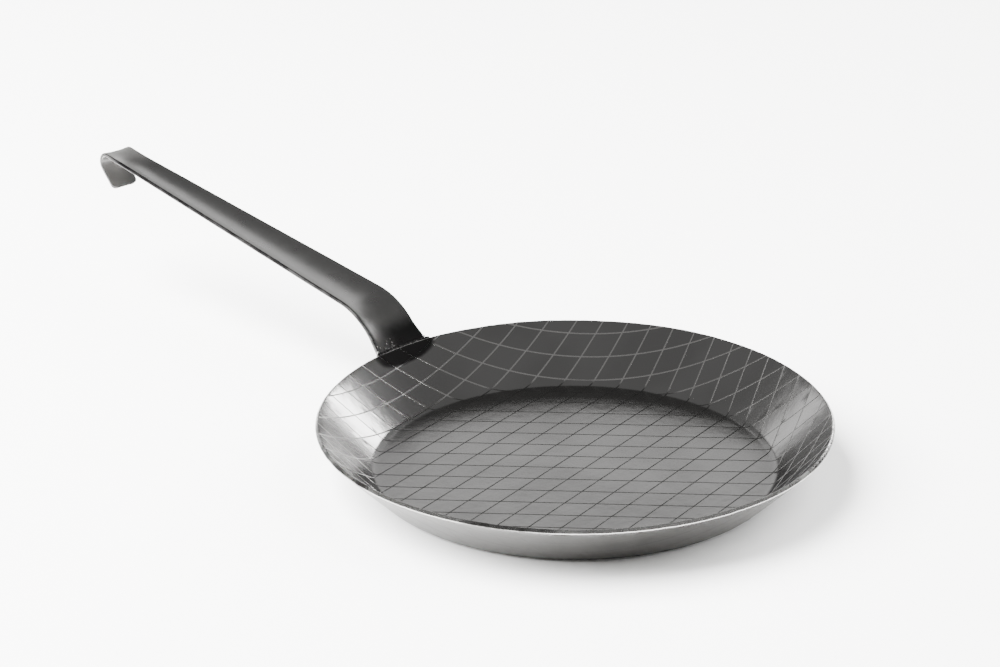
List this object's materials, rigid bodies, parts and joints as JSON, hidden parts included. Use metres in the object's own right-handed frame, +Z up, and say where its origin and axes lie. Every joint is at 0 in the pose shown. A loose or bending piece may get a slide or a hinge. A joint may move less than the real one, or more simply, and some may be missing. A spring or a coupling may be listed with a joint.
{
  "type": "frying pan",
  "caption": "Shallow round steel frying pan with flared walls, a grid-scored inside and a long troughed strip handle that ends in a hanging hook.",
  "frame": {"origin": "centre of the underside of the bowl's flat floor, on the table", "axes": "+Z up, out of the bowl; the handle runs along -X; +Y to the left of a cook who holds the handle"},
  "size_m": [0.556, 0.2796, 0.0856],
  "materials": {
    "pressed_steel": "bare cold-rolled carbon steel, satin, scored with fine grid lines",
    "strip_steel": "bare hot-formed carbon steel strip, satin, darker than the bowl",
    "weld_metal": "as-welded steel, rippled, dark heat oxide"
  },
  "bodies": {
    "root": {"pan_body": "pressed_steel", "hook_handle": "strip_steel", "weld_rim": "weld_metal", "weld_left": "weld_metal", "weld_right": "weld_metal", "weld_toe": "weld_metal"}
  },
  "joints": []
}
